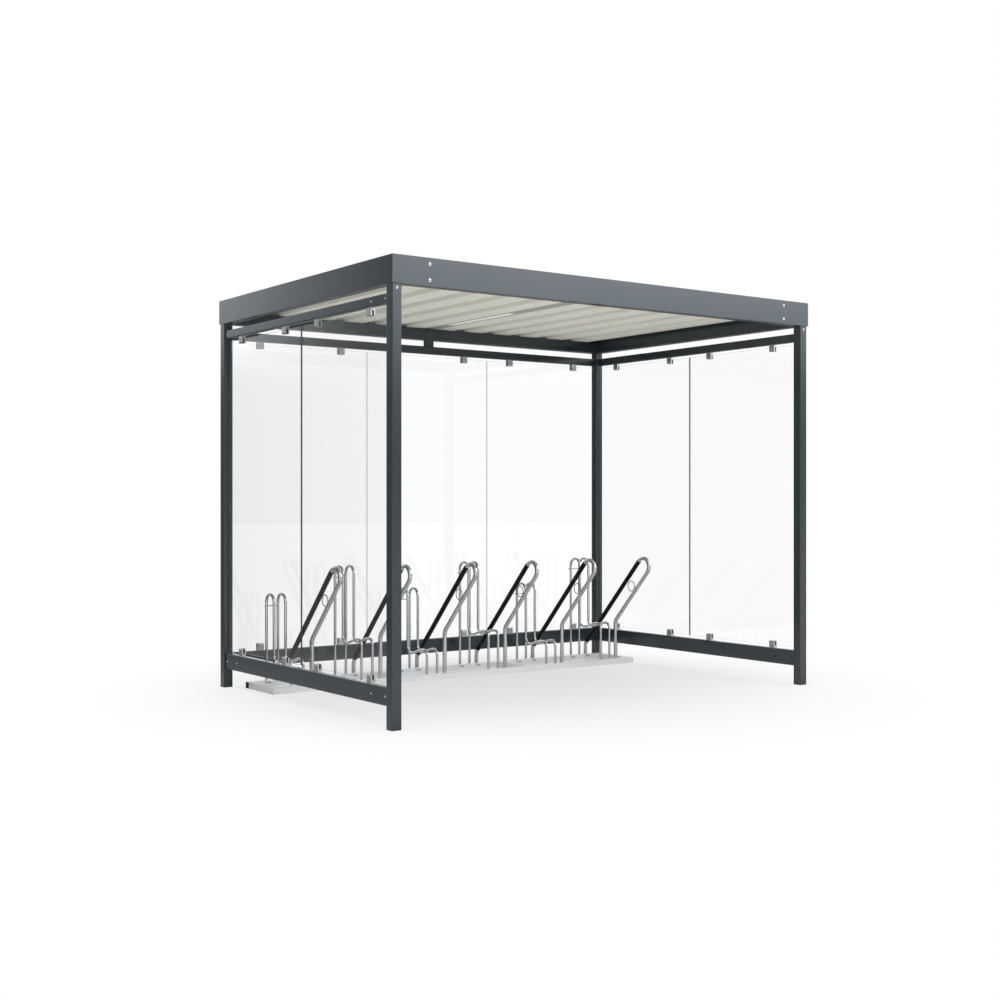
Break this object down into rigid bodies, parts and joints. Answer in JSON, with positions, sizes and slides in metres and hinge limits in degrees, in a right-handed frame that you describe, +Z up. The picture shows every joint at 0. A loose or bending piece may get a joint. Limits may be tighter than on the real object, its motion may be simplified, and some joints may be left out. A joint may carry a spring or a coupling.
{
  "type": "bike shelter",
  "caption": "Open-fronted bike shelter: flat-roofed dark steel frame with clamped glass walls on three sides, a ribbed sheet roof and a galvanised rack of wheel holders and leaning hoops.",
  "frame": {"origin": "on the ground, in the middle of the plan", "axes": "+Z up, +X along the width, +Y from the open front to the back wall"},
  "size_m": [3.15, 2.15, 2.48],
  "materials": {
    "frame_paint": "satin anthracite powder coat",
    "roof_sheet": "grey-white coil coating",
    "lamp_channel": "grey paint",
    "lamp_diffuser": "opal plastic",
    "glass": "clear toughened glass",
    "clamp_steel": "satin",
    "rubber": "matt",
    "galvanised": "bright hot-dip galvanised",
    "sleeve": "matt black"
  },
  "bodies": {
    "root": {"post_front_left": "frame_paint", "post_front_right": "frame_paint", "post_back_left": "frame_paint", "post_back_right": "frame_paint", "roof_beam_front": "frame_paint", "roof_beam_back": "frame_paint", "roof_beam_left": "frame_paint", "roof_beam_right": "frame_paint", "fascia_front": "frame_paint", "fascia_back": "frame_paint", "fascia_left": "frame_paint", "fascia_right": "frame_paint", "lower_rail_left": "frame_paint", "lower_rail_right": "frame_paint", "lower_rail_back": "frame_paint", "upper_rail_left": "frame_paint", "upper_rail_right": "frame_paint", "upper_rail_back": "frame_paint", "roof_sheet": "roof_sheet", "lamp_channel": "lamp_channel", "lamp_diffuser": "lamp_diffuser", "glass_left_1": "glass", "glass_left_2": "glass", "glass_right_1": "glass", "glass_right_2": "glass", "glass_back_1": "glass", "glass_back_2": "glass", "glass_back_3": "glass", "clamps_left": "clamp_steel", "clamps_right": "clamp_steel", "clamps_back": "clamp_steel", "clamp_pads": "rubber", "rack_front_rail": "galvanised", "rack_back_rail": "galvanised", "rack_cross_members": "galvanised", "low_wheel_holders": "galvanised", "high_wheel_holders": "galvanised", "leaning_hoop_1": "galvanised", "leaning_hoop_2": "galvanised", "leaning_hoop_3": "galvanised", "leaning_hoop_4": "galvanised", "leaning_hoop_5": "galvanised", "leaning_hoop_6": "galvanised", "lock_loops": "galvanised", "hoop_sleeves": "sleeve"}
  },
  "joints": []
}
